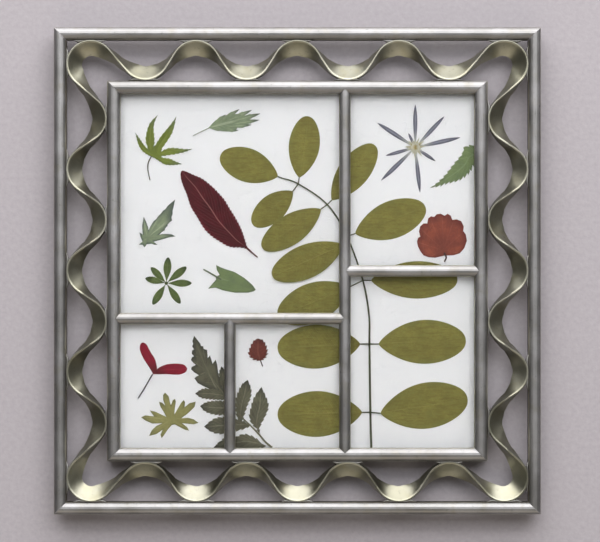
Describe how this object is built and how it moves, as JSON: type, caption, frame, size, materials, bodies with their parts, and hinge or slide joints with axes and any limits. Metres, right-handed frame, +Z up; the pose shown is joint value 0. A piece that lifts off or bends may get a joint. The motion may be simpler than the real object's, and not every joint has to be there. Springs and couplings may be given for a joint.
{
  "type": "pressed flower frame",
  "caption": "Small square metal wall frame with a wavy folded ribbon border, holding pressed leaves and a flower under glass.",
  "frame": {"origin": "centre of the frame's box, midway between its front crown and the wall plane behind it", "axes": "+X to the viewer's right, +Y into the wall behind the frame, +Z up"},
  "size_m": [0.256, 0.015, 0.256],
  "materials": {
    "bar_metal": "brushed half-round pewter-coloured bars, finely scratched",
    "ribbon_metal": "folded and bent ribbon with a warm olive tint and solder at each contact",
    "rim_metal": "plain dull grey metal",
    "glass": "clear polished pane",
    "paper": "white rag paper with faint fibres",
    "board": "brown hardboard",
    "leaf_olive": "dried leaf, olive to brown, fine side veins",
    "leaf_stalk": "dried brown-green stalk",
    "leaf_yellow_green": "dried leaf",
    "leaf_grey_green": "dried leaf, silvery",
    "leaf_fresh_green": "dried leaf",
    "leaf_dark_green": "dried leaf",
    "leaf_dark_red": "dried leaf, dark red with a pale midrib",
    "leaf_brick_red": "dried leaf, brick red",
    "leaf_yellow_olive": "dried leaf",
    "fern_brown": "dried fern, dark grey-brown",
    "seed_crimson": "dried winged seed",
    "bract_slate": "dried bracts, slate blue",
    "flower_straw": "dried florets, straw-coloured"
  },
  "bodies": {
    "root": {"outer_bar_top": "bar_metal", "outer_bar_left": "bar_metal", "outer_bar_bottom": "bar_metal", "outer_bar_right": "bar_metal", "inner_bar_top": "bar_metal", "inner_bar_left": "bar_metal", "inner_bar_bottom": "bar_metal", "inner_bar_right": "bar_metal", "rim_top": "rim_metal", "rim_left": "rim_metal", "rim_bottom": "rim_metal", "rim_right": "rim_metal", "ribbon_top": "ribbon_metal", "ribbon_left": "ribbon_metal", "ribbon_bottom": "ribbon_metal", "ribbon_right": "ribbon_metal", "board_tab_top": "rim_metal", "board_tab_left": "rim_metal", "board_tab_bottom": "rim_metal", "board_tab_right": "rim_metal", "window_upright": "bar_metal", "window_rail_left": "bar_metal", "window_rail_right": "bar_metal", "window_upright_short": "bar_metal", "hanging_strap": "rim_metal", "glass_pane": "glass", "paper_mount": "paper", "backing_board": "board", "pinnate_stalk": "leaf_stalk", "leaflet_01": "leaf_olive", "leaflet_02": "leaf_olive", "leaflet_03": "leaf_olive", "leaflet_04": "leaf_olive", "leaflet_05": "leaf_olive", "leaflet_06": "leaf_olive", "leaflet_07": "leaf_olive", "leaflet_08": "leaf_olive", "leaflet_09": "leaf_olive", "leaflet_10": "leaf_olive", "leaflet_11": "leaf_olive", "leaflet_12": "leaf_olive", "leaflet_13": "leaf_olive", "maple_leaf": "leaf_yellow_green", "grey_green_leaf": "leaf_grey_green", "forked_leaf": "leaf_grey_green", "whorl_leaf": "leaf_dark_green", "arrowhead_leaf": "leaf_fresh_green", "long_red_leaf": "leaf_dark_red", "star_flower_bracts": "bract_slate", "star_flower_head": "flower_straw", "saw_edged_leaf": "leaf_fresh_green", "scalloped_red_leaf": "leaf_brick_red", "winged_seed": "seed_crimson", "lobed_olive_leaf": "leaf_yellow_olive", "fern_leaf": "fern_brown", "small_red_leaf": "leaf_brick_red"}
  },
  "joints": []
}
